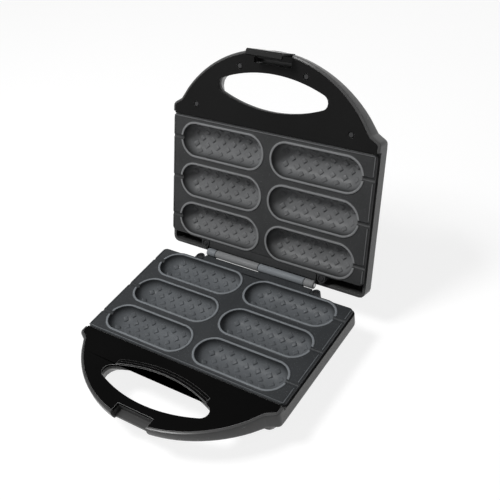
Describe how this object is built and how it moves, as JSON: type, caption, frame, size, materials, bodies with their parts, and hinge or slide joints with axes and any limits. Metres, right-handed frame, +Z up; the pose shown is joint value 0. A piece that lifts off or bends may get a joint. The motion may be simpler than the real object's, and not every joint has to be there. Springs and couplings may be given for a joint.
{
  "type": "crepe and hot dog maker",
  "caption": "Countertop cooker: two hinged housings with cast plates of studded oblong cavities, stick slots, finger-hole handles and a clip that holds it shut.",
  "frame": {"origin": "floor level, under the middle of the box round the whole object with its lid open", "axes": "+Z up, -Y towards the handles of the closed object, +X to the right of someone who stands at the handle and looks at it; the hinge line runs along X"},
  "size_m": [0.223, 0.2902, 0.2405],
  "materials": {
    "base_shell": "smooth, satin",
    "base_deck": "satin",
    "base_deck_screw_1": "plain",
    "base_deck_screw_2": "plain",
    "base_deck_screw_3": "plain",
    "base_deck_screw_4": "plain",
    "lower_plate": "cast, non-stick coated",
    "lower_plate_screw_left": "plain",
    "lower_plate_screw_right": "plain",
    "lower_heater": "heat darkened",
    "lower_reflector": "mill finish",
    "thermostat": "mill finish",
    "thermal_fuse": "mill finish",
    "terminal_block": "plain",
    "cord_gland": "plain",
    "hinge_pin": "plain",
    "foot_1": "plain",
    "foot_2": "plain",
    "foot_3": "plain",
    "foot_4": "plain",
    "lid_shell": "smooth, satin",
    "lid_deck": "satin",
    "lid_deck_screw_1": "plain",
    "lid_deck_screw_2": "plain",
    "lid_deck_screw_3": "plain",
    "lid_deck_screw_4": "plain",
    "upper_plate": "cast, non-stick coated",
    "upper_plate_screw_left": "plain",
    "upper_plate_screw_right": "plain",
    "upper_heater": "heat darkened",
    "upper_reflector": "mill finish",
    "power_lens": "clear, tinted",
    "ready_lens": "clear, tinted",
    "power_lamp": "clear, tinted",
    "ready_lamp": "clear, tinted",
    "latch_pin": "plain",
    "latch_clip": "glossy"
  },
  "bodies": {
    "base": {"base_shell": "base_shell", "base_deck": "base_deck", "base_deck_screw_1": "base_deck_screw_1", "base_deck_screw_2": "base_deck_screw_2", "base_deck_screw_3": "base_deck_screw_3", "base_deck_screw_4": "base_deck_screw_4", "lower_plate": "lower_plate", "lower_plate_screw_left": "lower_plate_screw_left", "lower_plate_screw_right": "lower_plate_screw_right", "lower_heater": "lower_heater", "lower_reflector": "lower_reflector", "thermostat": "thermostat", "thermal_fuse": "thermal_fuse", "terminal_block": "terminal_block", "cord_gland": "cord_gland", "hinge_pin": "hinge_pin", "foot_1": "foot_1", "foot_2": "foot_2", "foot_3": "foot_3", "foot_4": "foot_4"},
    "lid": {"lid_shell": "lid_shell", "lid_deck": "lid_deck", "lid_deck_screw_1": "lid_deck_screw_1", "lid_deck_screw_2": "lid_deck_screw_2", "lid_deck_screw_3": "lid_deck_screw_3", "lid_deck_screw_4": "lid_deck_screw_4", "upper_plate": "upper_plate", "upper_plate_screw_left": "upper_plate_screw_left", "upper_plate_screw_right": "upper_plate_screw_right", "upper_heater": "upper_heater", "upper_reflector": "upper_reflector", "power_lens": "power_lens", "ready_lens": "ready_lens", "power_lamp": "power_lamp", "ready_lamp": "ready_lamp", "latch_pin": "latch_pin"},
    "latch": {"latch_clip": "latch_clip"}
  },
  "joints": [
    {"name": "lid_hinge", "type": "hinge", "parent": "base", "child": "lid", "pos_m": [0, 0.0603, 0.0415], "axis": [1, 0, 0], "range_deg": [0, 111]},
    {"name": "latch_pivot", "type": "hinge", "parent": "lid", "child": "latch", "pos_m": [0, 0.13831, 0.22632], "axis": [1, 0, 0], "range_deg": [-20, 8]}
  ]
}
